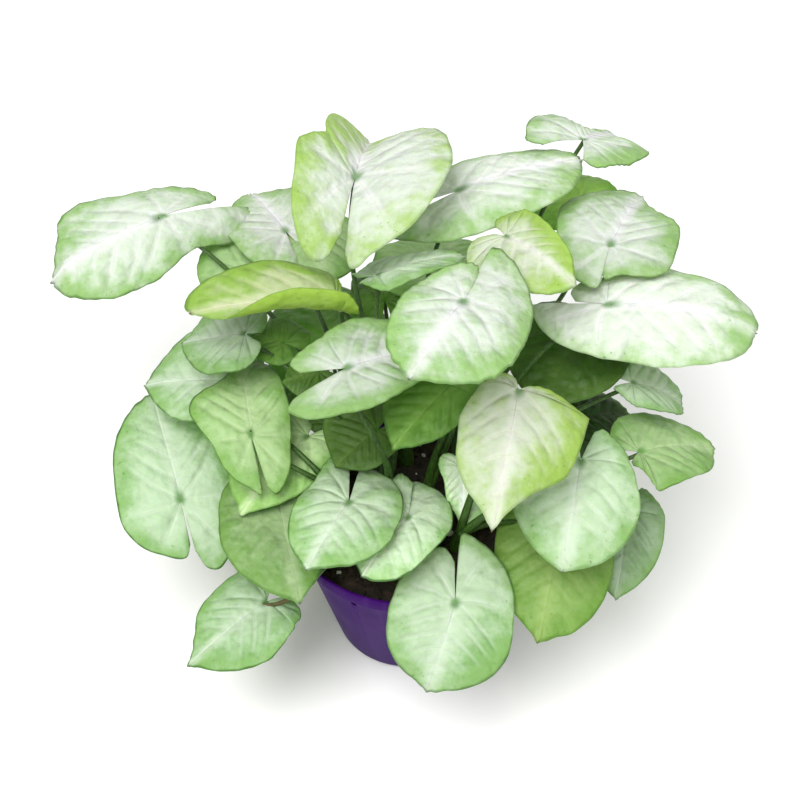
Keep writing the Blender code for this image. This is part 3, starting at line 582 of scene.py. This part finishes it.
def bladeFinish(name, under):
    look = bladeLook
    made, tree, shader = newFinish(name, **look["shader"])
    signed, along, ring = tree.split(tree.read("leafPlan", "Vector"))
    across = tree.maths("ABSOLUTE", signed)
    place = tree.place()

    # side veins ahead of the notch, and a fan of them behind it
    lifted = along - across * veins["rise"] - across * across * veins["arch"]
    ahead = tree.maths("PINGPONG", tree.maths("MAXIMUM", lifted / veins["spacing"], 0), 0.5)
    angle = tree.maths("ARCTAN2", tree.maths("MAXIMUM", 0 - lifted, 0), across + 1e-5)
    behind = tree.maths("PINGPONG", angle * (2 / math.pi * veins["fan"]), 0.5)
    reachOut = (across * across + lifted * lifted) ** 0.5
    isAhead = tree.maths("GREATER_THAN", lifted, 0)
    distance = ahead * veins["step"] * isAhead + behind * veins["fanStep"] * reachOut * (1 - isAhead)
    fading = 1 - ring.smooth(*look["veinEnd"])
    vein = (1 - distance.smooth(0, look["veinWidth"])) * fading
    # thin lines on the side veins, for painted shade in their grooves
    veinCore = (1 - distance.smooth(0, look["grooveShadeWidth"])) * fading
    onFront = along.smooth(*look["midribStart"])
    narrowing = (look["midribTaper"] - along) * look["midribWidth"]
    middle = (1 - (across / narrowing).smooth(0, 1)) * onFront
    middleHalo = (1 - across.smooth(0, look["haloWidth"])) * onFront
    # a thin line down the midrib near the notch, for painted shade in its groove
    middleCore = (1 - across.smooth(0, look["grooveShadeWidth"])) * onFront * (1 - along.smooth(*look["midribShadeEnd"]))

    # green blotches grow towards the edge, between the veins, and the relief follows the same noises
    green = tree.read("leafGreen", "Fac") + ring.smooth(*look["edgeGreener"]) - middleHalo * look["haloPaler"]
    groove = tree.maths("MAXIMUM", vein, middle)
    quilted = distance.smooth(*look["quiltSpan"]) * (1 - ring.smooth(*look["quiltEnd"]))
    height = (groove if under else 0 - groove) * look["veinDepth"] + quilted * look["quiltHeight"]
    clouds = {}
    for kind, (grains, greener, high) in look["noises"].items():
        clouds[kind] = tree.clouds(place, *grains)
        green = green + (clouds[kind] - 0.5) * greener
        height = height + clouds[kind] * high
    green = green + look["allGreener"]
    blotch, speck = clouds["blotch"], clouds["speck"]
    pale, deep = tree.read("leafPale"), tree.read("leafDeep")
    colour = pale.blend(deep, green.smooth(*look["greenSpanBelow" if under else "greenSpan"]))
    margin = (ring + (blotch - 0.5) * look["marginSpread"]).smooth(*look["marginSpan"])
    colour = colour.blend(deep.blend(look["marginGreen"], look["marginMix"]), margin)

    # the pale halo and veins, and painted shade in thin dark lines along the grooves of the side veins
    veinPale = pale.tint(look["veinTint"])
    patchy = blotch.smooth(*look["veinPatches"])
    shown = tree.maths("MAXIMUM", middleHalo * look["haloShare"], vein * patchy * look["veinShare"])
    colour = colour.blend(veinPale, shown)
    colour = colour.blend(veinPale, middle * look["midribShare"])
    # painted shade: thin dark lines along the side veins' grooves
    colour = colour.blend(deep, veinCore * patchy * look["veinShadeShare"])
    if under:
        colour = colour.blend(look["undersideGreen"], look["undersideShare"])

    # the dark edge and the specks near it, the tip, and the green round the notch, with painted shade down
    # the midrib's groove near it
    edge = (ring + (blotch - 0.5) * look["edgeSpread"]).smooth(*look["edgeSpan"])
    colour = colour.blend(look["edgeGreen"], edge * tree.read("leafRim", "Fac"))
    specks = speck.smooth(*look["speckSpan"]) * ring.smooth(*look["speckRing"])
    colour = colour.blend(look["edgeGreen"], specks)
    colour = colour.stain(along, *look["brownTip"])
    toNotch = tree.maths("SQRT", signed * signed + along * along)
    sinus = (1 - toNotch.smooth(*look["sinusSpan"])) * look["sinusShare"]
    colour = colour.blend(look["sinusGreen"], tree.maths("MAXIMUM", sinus, middleCore * look["midribShadeShare"]))

    rough = look["roughness"] + (speck - 0.5) * look["roughSpread"]
    feed(tree, shader, Base_Color=colour, Roughness=rough, Normal=tree.bump(height, 1, 1))
    return made


# Petioles and stems

stalk = {
    "soilTop": 0.106,
    "stemRadius": 0.0052,
    "stemSunk": 0.020,
    "stemRise": 0.022,
    "stemUpright": 0.004,
    "stemBend": 0.7,                 # it tapers and leans above this share of its height
    "stemHandle": 0.4,               # of its bezier curve, as a share of its length
    "joints": 4,                     # rings round each stem
    "jointRise": 0.06,               # as a share of the stem's radius
    "jointSharpness": 5,
    "petioleFeet": (0.72, 0.92),     # where petioles leave the stem, as shares of its height
    "lean": 0.35,                    # how far outwards they leave it
    "arrival": (0.45, 0.75, 0.30),   # by the blade's way ahead, its way up, and outwards
    "handles": (0.40, 0.32),         # of a petiole's curve, as shares of its reach
    "foot": 0.0023,                  # a petiole's radius there and under its blade
    "top": 0.00125,
    "thinning": 0.7,                 # below 1, most of it happens near the foot
    "sheath": 0.0008,                # extra radius where the petiole wraps its stem
    "sheathEnd": 0.35,
    "knee": (0.0004, 0.97, 0.05),    # extra radius just under the blade, where, and how far it reaches
    "seat": 0.0030,                  # how far into the blade it ends, ahead of the notch and down
    "seatDrop": 0.0004,
    "stemDetail": (24, 5),           # knots along it, and its bevel's resolution
    "petioleDetail": (12, 4),
    "between": 3,                    # steps between two knots

    "shader": {"IOR": 1.45},
    "roughness": 0.42, "roughSpread": 0.2,
    "lengthwise": 0.12,
    "streakNoise": (900, 3), "streakHeight": 0.0002, "streakStrength": 0.6,
    "patchNoise": (70, 3),
    "green": (0.022, 0.065, 0.005),
    "streaks": ((0.055, 0.13, 0.012), (0.35, 0.75)),
    "shades": ((0.010, 0.035, 0.003), (0.5, 0.75, 0.6)),
    "sheathBrown": (0.16, 0.11, 0.05), "brownSpan": (0.35, 0.6, 0.7),
    "brownTop": (0.102, 0.112),      # heights between which the brown fades out
}


def stalkFinishOf(name):
    made, tree, shader = newFinish(name, **stalk["shader"])
    place = tree.place()
    streak = tree.clouds(tree.stretch(place, stalk["lengthwise"]), *stalk["streakNoise"])
    patch = tree.clouds(place, *stalk["patchNoise"])
    low = 1 - tree.split(place)[2].smooth(*stalk["brownTop"])
    colour = tree.colour(stalk["green"]).stain(streak, *stalk["streaks"]).stain(patch, *stalk["shades"])
    colour = colour.blend(stalk["sheathBrown"], low * patch.smooth(*stalk["brownSpan"]))
    bump = tree.bump(streak, stalk["streakHeight"], stalk["streakStrength"])
    rough = stalk["roughness"] + patch * stalk["roughSpread"]
    feed(tree, shader, Base_Color=colour, Roughness=rough, Normal=bump)
    return made


def drawStalk(name, first, second, radiusAt, points, bevel):
    # a tapered tube along a bezier curve from first (place, handle) to second (place, handle)
    deselectAll()
    bpy.ops.curve.primitive_bezier_curve_add()
    route = bpy.context.object
    spline = route.data.splines[0]
    for knot, (place, handle), sign in zip(spline.bezier_points, (first, second), (1, -1)):
        knot.handle_left_type = knot.handle_right_type = "FREE"
        knot.co = place
        knot.handle_right = handle if sign > 0 else place * 2 - handle
        knot.handle_left = handle if sign < 0 else place * 2 - handle
    bpy.ops.object.mode_set(mode="EDIT")
    bpy.ops.curve.select_all(action="SELECT")
    bpy.ops.curve.subdivide(number_cuts=points - 2)
    bpy.ops.object.mode_set(mode="OBJECT")
    knots = route.data.splines[0].bezier_points
    for index, knot in enumerate(knots):
        knot.radius = radiusAt(index / (len(knots) - 1))
    route.data.resolution_u = stalk["between"]
    route.data.bevel_depth = 1
    route.data.bevel_resolution = bevel
    route.data.use_fill_caps = True
    bpy.ops.object.convert(target="MESH")
    tube = bpy.context.object
    tube.name = name
    tube.data.materials.clear()
    giveLeafFinishes(tube.data)
    tube.data.polygons.foreach_set("material_index", [2] * len(tube.data.polygons))
    mendMesh()
    bpy.ops.object.shade_smooth()
    return tube


def stemPoint(stem, share):
    height = stalk["soilTop"] - stalk["stemSunk"] + (stalk["stemSunk"] + stalk["stemRise"]) * share
    leaning = max(0, height - stalk["soilTop"] - stalk["stemUpright"]) / stalk["stemRise"]
    (x, y), (leanX, leanY) = stem["foot"], stem["lean"]
    return Vector((x + leanX * leaning, y + leanY * leaning, height))


def makeStalks(name, stem):
    low, high = stemPoint(stem, 0), stemPoint(stem, 1)

    def stemRadius(share):
        joint = max(0, 1 - abs((share * stalk["joints"] * 2) % 2 - 1) * stalk["jointSharpness"])
        slim = 1 - max(0, share - stalk["stemBend"])
        return stalk["stemRadius"] * slim * (1 - stalk["jointRise"] + stalk["jointRise"] * joint)

    def petioleRadius(t):
        swelling, middle, reach = stalk["knee"]
        knee = swelling * max(0, 1 - abs(t - middle) / reach)
        sheath = stalk["sheath"] * max(0, 1 - t / stalk["sheathEnd"]) ** 0.5
        return stalk["foot"] + (stalk["top"] - stalk["foot"]) * t ** stalk["thinning"] + sheath + knee

    upright = Vector((0, 0, (high - low).length * stalk["stemHandle"]))
    leaning = (high - stemPoint(stem, stalk["stemBend"])).normalized() * upright.z
    made = [drawStalk(name, (low, low + upright), (high, high - leaning), stemRadius, *stalk["stemDetail"])]
    leaves = stem["leaves"]
    lowest, highest = stalk["petioleFeet"]
    for index, one in enumerate(leaves):
        ahead, _, up = one["axes"]
        foot = stemPoint(stem, lowest + (highest - lowest) * index / (len(leaves) - 1))
        top = one["notch"] + ahead * stalk["seat"] - up * stalk["seatDrop"]
        reach = (top - foot).length
        outward = Vector((top.x - foot.x, top.y - foot.y, 0)) / reach
        leaving = (Vector((0, 0, 1)) + outward * stalk["lean"]).normalized()
        forward, above, away = stalk["arrival"]
        arriving = (ahead * forward + up * above + outward * away).normalized()
        first = foot + leaving * reach * stalk["handles"][0] + one["bow"]
        second = top - arriving * reach * stalk["handles"][1] + one["bow"]
        made.append(drawStalk("petiole", (foot, first), (top, second), petioleRadius,
                              *stalk["petioleDetail"]))
    return made


def joinPieces(name, parts):
    deselectAll()
    for part in parts:
        part.select_set(True)
    bpy.context.view_layer.objects.active = parts[0]
    bpy.ops.object.join()
    bpy.ops.object.transform_apply(location=True, rotation=True, scale=True)
    parts[0].name = parts[0].data.name = name
    return parts[0]


bladeTop = bladeFinish("variegated leaf", False)
bladeUnderside = bladeFinish("leaf underside", True)
stalkFinish = stalkFinishOf("petiole green")

seed = 0
for node, stem in leafyStems.items():
    parts = []
    for one in stem["leaves"]:
        seed += 1
        parts.append(makeBlade(one, seed))
    parts += makeStalks(node, stem)
    words = node.split("_")
    leafy = joinPieces("leafy" + "".join(word.title() for word in words), parts)
    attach(leafy, "root")
    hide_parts(node)
print("leafy stems:", len(leafyStems), "with", seed, "leaves")


# Pot

pot = {
    "height": 0.119, "rim": 0.0755, "base": 0.0465, "wall": 0.0018, "floor": 0.0022,
    "lipDrop": 0.010, "lipOverhang": 0.0022, "lipTaper": 0.0006,
    "footRounding": 0.004,
    "footSteps": (0.3, 1.6, 1.8),    # chamfer, then where the flat ring and its step end, in footRoundings
    "ringFoot": 0.0008,        # a shallow step under the base
    "steps": 144,
    "edgeRounding": 0.0005, "edgeSegments": 3,
    "roundOver": 25,           # edges that turn by more degrees are rounded
    "smoothUnder": 32,
    "holeSteps": 32,
    "drains": 6, "drainRadius": 0.004, "drainRing": 0.028, "drainDepth": 0.012,
    "hangerRadius": 0.0019, "hangerBelowRim": 0.022, "hangerAzimuths": (-118, 2, 122),
    "hangerReach": 0.068, "hangerDepth": 0.016,

    "shader": {"IOR": 1.5, "Specular_IOR_Level": 0.02},
    "roughness": 0.38, "cloudRough": 0.2, "dustRough": 0.4,
    "cloudNoise": (22, 4),
    "streakNoise": (160, 3), "lengthwise": 0.08,
    "grainNoise": (1600, 2), "grainHeight": 0.00008, "grainStrength": 0.5,
    "dustNoise": (130, 5, 0.7),
    "purple": (0.038, 0.004, 0.108),
    "streaks": ((0.062, 0.015, 0.145), (0.5, 0.75, 0.6)),
    "shades": ((0.022, 0.002, 0.064), (0.5, 0.8, 0.45)),
    "dust": (0.07, 0.04, 0.09), "dustSpan": (0.55, 0.8, 0.5), "dustTop": 0.03,
}


def turnedPiece(name, profile, steps):
    # one corner of a plane, drawn through the profile's (radius, height) points and spun round Z
    deselectAll()
    bpy.ops.mesh.primitive_plane_add(size=0.001, location=(0, 0, 0))
    piece = bpy.context.object
    piece.name = piece.data.name = name
    bpy.ops.object.mode_set(mode="EDIT")
    bpy.ops.mesh.merge(type="CENTER")
    bpy.ops.transform.translate(value=(profile[0][0], 0, profile[0][1]))
    for (r0, z0), (r1, z1) in zip(profile, profile[1:]):
        bpy.ops.mesh.extrude_region_move(TRANSFORM_OT_translate={"value": (r1 - r0, 0, z1 - z0)})
    bpy.ops.mesh.select_all(action="SELECT")
    bpy.ops.mesh.spin(steps=steps, angle=2 * math.pi, center=(0, 0, 0), axis=(0, 0, 1))
    mendMesh()
    return piece


def cutHole(piece, radius, depth, place, turn=(0, 0, 0)):
    deselectAll()
    bpy.ops.mesh.primitive_cylinder_add(vertices=pot["holeSteps"], radius=radius, depth=depth, location=place,
                                        rotation=turn)
    tool = bpy.context.object
    applyModifier(piece, "BOOLEAN", operation="DIFFERENCE", solver="MANIFOLD", object=tool)
    bpy.data.objects.remove(tool)


def plasticFinish():
    made, tree, shader = newFinish("purple plastic", **pot["shader"])
    place = tree.place()
    cloud, grain, dust = (tree.clouds(place, *pot[kind + "Noise"]) for kind in ("cloud", "grain", "dust"))
    drawn = tree.clouds(tree.stretch(place, pot["lengthwise"]), *pot["streakNoise"])
    colour = tree.colour(pot["purple"]).stain(drawn, *pot["streaks"]).stain(cloud, *pot["shades"])
    settled = dust.smooth(*pot["dustSpan"]) * (1 - tree.split(place)[2].smooth(0, pot["dustTop"]))
    colour = colour.blend(pot["dust"], settled)
    bump = tree.bump(grain + drawn * 2, pot["grainHeight"], pot["grainStrength"])
    rough = pot["roughness"] + (cloud - 0.5) * pot["cloudRough"] + settled * pot["dustRough"]
    feed(tree, shader, Base_Color=colour, Roughness=rough, Normal=bump)
    return made


def outerRadius(height):
    return pot["base"] + (pot["rim"] - pot["lipOverhang"] - pot["base"]) * height / pot["height"]


def makePot():
    top, wall, floor, foot = pot["height"], pot["wall"], pot["floor"], pot["footRounding"]
    chamfer, flat, step = (foot * share for share in pot["footSteps"])
    lip = top - pot["lipDrop"]
    profile = [
        (0, floor),
        (outerRadius(floor) - wall - foot / 2, floor),
        (outerRadius(floor + foot) - wall, floor + foot),
        (outerRadius(lip) - wall, lip),
        (pot["rim"] - wall - pot["lipTaper"], lip + pot["lipOverhang"]),
        (pot["rim"] - wall, top),
        (pot["rim"], top),
        (pot["rim"] - pot["lipTaper"], lip),
        (outerRadius(lip), lip),
        (outerRadius(foot), foot),
        (outerRadius(0) - chamfer, chamfer),
        (outerRadius(0) - foot, 0),
        (outerRadius(0) - flat, 0),
        (outerRadius(0) - step, pot["ringFoot"]),
        (0, pot["ringFoot"]),
    ]
    made = turnedPiece("plasticPot", profile, pot["steps"])
    applyModifier(made, "BEVEL", width=pot["edgeRounding"], segments=pot["edgeSegments"],
                  limit_method="ANGLE", angle_limit=math.radians(pot["roundOver"]))
    for index in range(pot["drains"]):
        angle = 2 * math.pi * (index + 0.5) / pot["drains"]
        place = (pot["drainRing"] * math.cos(angle), pot["drainRing"] * math.sin(angle), 0)
        cutHole(made, pot["drainRadius"], pot["drainDepth"], place)
    for azimuth in pot["hangerAzimuths"]:
        angle = math.radians(azimuth)
        out, high = pot["hangerReach"], top - pot["hangerBelowRim"]
        place = (out * math.cos(angle), out * math.sin(angle), high)
        cutHole(made, pot["hangerRadius"], pot["hangerDepth"], place, (0, math.pi / 2, angle))
    smoothByAngle(made, pot["smoothUnder"])
    made.data.materials.clear()
    made.data.materials.append(plasticFinish())
    return made


potPiece = makePot()
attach(potPiece, "root")
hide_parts("pot")
print("pot: turned and drilled")


# Soil

soil = {
    "top": 0.106, "dome": 0.004, "gap": 0.0003,
    "waist": 0.062, "waistShare": 0.6,    # a ring half-way down, between the top's radius and the foot's
    "bottom": 0.0065,
    "rings": 26, "steps": 132,
    "smoothUnder": 50,
    "lumps": 0.0022,           # height of its lumps
    "lumpReach": 0.0687,       # they end this far out
    "lumpScale": 95,           # per metre
    "lumpFractal": (1, 2, 4),
    "calmEdge": 6,             # and fade over a sixth of that
    "grainReach": 0.066,
    "grainTurn": 6,
    "grainWidth": (0.7, 1.3), "grainHeight": 0.75,
    "grainLift": 0.25,         # as a share of its size
    "grainDents": 1.4,
    "crumbs": {"count": 420, "sizes": (0.0009, 0.0028), "rough": 0.5, "seed": 1},
    "perlite": {"count": 26, "sizes": (0.0008, 0.0021), "rough": 0.4, "seed": 2},

    "lumpNoise": (160, 5, 0.7),
    "fineNoise": (900, 4, 0.7),
    "dark": (0.020, 0.013, 0.009),
    "brown": ((0.075, 0.045, 0.026), (0.45, 0.75, 0.8)),
    "tan": ((0.13, 0.085, 0.05), (0.62, 0.75, 0.6)),
    "relief": 0.0008,
    "roughness": 0.85, "roughSpread": 0.15,
    "white": (0.62, 0.61, 0.57),           # the perlite
    "stain": ((0.42, 0.38, 0.32), (0.55, 0.8, 0.7)),
    "pitNoise": (1400, 3), "pitDepth": 0.0004, "pitStrength": 0.8, "pitRough": (0.8, 0.2),
}
scatter = (127.1, 311.7, 43758.5453)    # uneven numbers that spread the grains


def soilFinish():
    made, tree, shader = newFinish("potting soil")
    place = tree.place()
    lumps, fine = tree.clouds(place, *soil["lumpNoise"]), tree.clouds(place, *soil["fineNoise"])
    colour = tree.colour(soil["dark"]).stain(lumps, *soil["brown"]).stain(fine, *soil["tan"])
    bump = tree.bump(lumps + fine, soil["relief"], 1)
    rough = soil["roughness"] + fine * soil["roughSpread"]
    feed(tree, shader, Base_Color=colour, Roughness=rough, Normal=bump)
    return made


def perliteFinish():
    made, tree, shader = newFinish("perlite")
    pits = tree.clouds(tree.place(), *soil["pitNoise"])
    colour = tree.colour(soil["white"]).stain(pits, *soil["stain"])
    bump = tree.bump(pits, soil["pitDepth"], soil["pitStrength"])
    plain, more = soil["pitRough"]
    feed(tree, shader, Base_Color=colour, Roughness=plain + pits * more, Normal=bump)
    return made


def soilHeight(x, y):
    out = math.hypot(x, y) / soil["lumpReach"]
    lump = noise.fractal(Vector((x, y, 0.3)) * soil["lumpScale"], *soil["lumpFractal"])
    fading = min(1, (1 - out) * soil["calmEdge"])
    return soil["top"] + soil["dome"] * (1 - out**2) + soil["lumps"] * lump * fading


def makeSoil():
    edge = outerRadius(soil["top"]) - pot["wall"] - soil["gap"]
    bottom = outerRadius(pot["floor"] + pot["footRounding"]) - pot["wall"] - soil["gap"] * 1.5
    waist = edge * soil["waistShare"] + bottom * (1 - soil["waistShare"])
    profile = [(edge * ring / soil["rings"], soil["top"]) for ring in range(soil["rings"] + 1)]
    profile += [(waist, soil["waist"]), (bottom, soil["bottom"]), (0, soil["bottom"])]
    made = turnedPiece("pottingSoil", profile, soil["steps"])
    slack = 1e-4
    for vertex in made.data.vertices:
        x, y, z = vertex.co
        if z > soil["top"] - slack and math.hypot(x, y) < edge - slack:
            vertex.co.z = soilHeight(x, y)
    smoothByAngle(made, soil["smoothUnder"])
    made.data.materials.append(soilFinish())
    return made


def grainShare(index, way):
    # a fixed number from 0 to 1 for each grain, so that every run is alike
    return (math.sin(index * scatter[0] + way * scatter[1]) * scatter[2]) % 1


def makeGrains(name, finish, count, sizes, rough, seed):
    # one lump of icosphere, copied, turned and stretched, each copy with its own mesh
    deselectAll()
    bpy.ops.mesh.primitive_ico_sphere_add(subdivisions=2, radius=1)
    lump = bpy.context.object
    for vertex in lump.data.vertices:
        vertex.co *= 1 + rough * noise.noise(vertex.co * soil["grainDents"] + Vector((seed, 0, 0)))
    lump.data.materials.append(finish)
    copies = [lump]
    for index in range(1, count):
        copy = lump.copy()
        copy.data = lump.data.copy()
        bpy.context.collection.objects.link(copy)
        copies.append(copy)
    small, large = sizes
    slim, wide = soil["grainWidth"]
    for index, grain in enumerate(copies):
        share = [grainShare(index + seed * 1000, way) for way in range(8)]
        out, angle = soil["grainReach"] * share[0] ** 0.5, 2 * math.pi * share[1]
        x, y = out * math.cos(angle), out * math.sin(angle)
        size = small + (large - small) * share[2] ** 2
        widths = [size * (slim + (wide - slim) * part) for part in share[3:5]]
        grain.scale = (*widths, size * soil["grainHeight"])
        grain.rotation_euler = [soil["grainTurn"] * part for part in share[5:]]
        grain.location = (x, y, soilHeight(x, y) + size * soil["grainLift"])
    return joinPieces(name, copies)


soilPiece = makeSoil()
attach(soilPiece, "root")
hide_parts("soil")
crumbs = makeGrains("soilCrumbs", soilPiece.data.materials[0], **soil["crumbs"])
perlite = makeGrains("perliteGrains", perliteFinish(), **soil["perlite"])
for grains in (crumbs, perlite):
    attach(grains, "root")
print("soil: filled, with crumbs and perlite")


# Studio

studio = {
    "eye": (-0.004, -0.505, 0.765),
    "lookDown": 47.5,
    "lens": 58.95, "sensor": 36,
    "floor": (0.93, 0.93, 0.92), "floorSize": 8, "floorRoughness": 0.8,
    "sky": 0.58,
    "aim": (0, 0.03, 0.15),
    "key": {"place": (-0.5, -0.7, 1.9), "size": 1.4, "power": 42},
    "fill": {"place": (0.9, -0.3, 1.3), "size": 1.2, "power": 7},
}


def softLight(name, place, size, power):
    deselectAll()
    bpy.ops.object.light_add(type="AREA", location=place)
    lamp = bpy.context.object
    lamp.name = name
    lamp.data.shape = "DISK"
    lamp.data.size = size
    lamp.data.energy = power
    lamp.rotation_euler = (Vector(studio["aim"]) - Vector(place)).to_track_quat("-Z", "Y").to_euler()


deselectAll()
bpy.ops.mesh.primitive_plane_add(size=studio["floorSize"], location=(0, 0, 0))
floor = bpy.context.object
floor.name = "floor"
floorFinish, _, _ = newFinish("pale floor", Base_Color=(*studio["floor"], 1),
                              Roughness=studio["floorRoughness"])
floor.data.materials.append(floorFinish)

for lampName in ("key", "fill"):
    softLight(lampName, **studio[lampName])

world = bpy.data.worlds.new("sky")
bpy.context.scene.world = world
world.use_nodes = True
world.node_tree.nodes["Background"].inputs["Color"].default_value = (1, 1, 1, 1)
world.node_tree.nodes["Background"].inputs["Strength"].default_value = studio["sky"]

bpy.ops.object.camera_add(location=studio["eye"], rotation=(math.radians(90 - studio["lookDown"]), 0, 0))
camera = bpy.context.object
camera.data.lens = studio["lens"]
camera.data.sensor_width = studio["sensor"]
bpy.context.scene.camera = camera
bpy.context.scene.view_settings.view_transform = "Standard"
print("studio: floor, lights and camera")
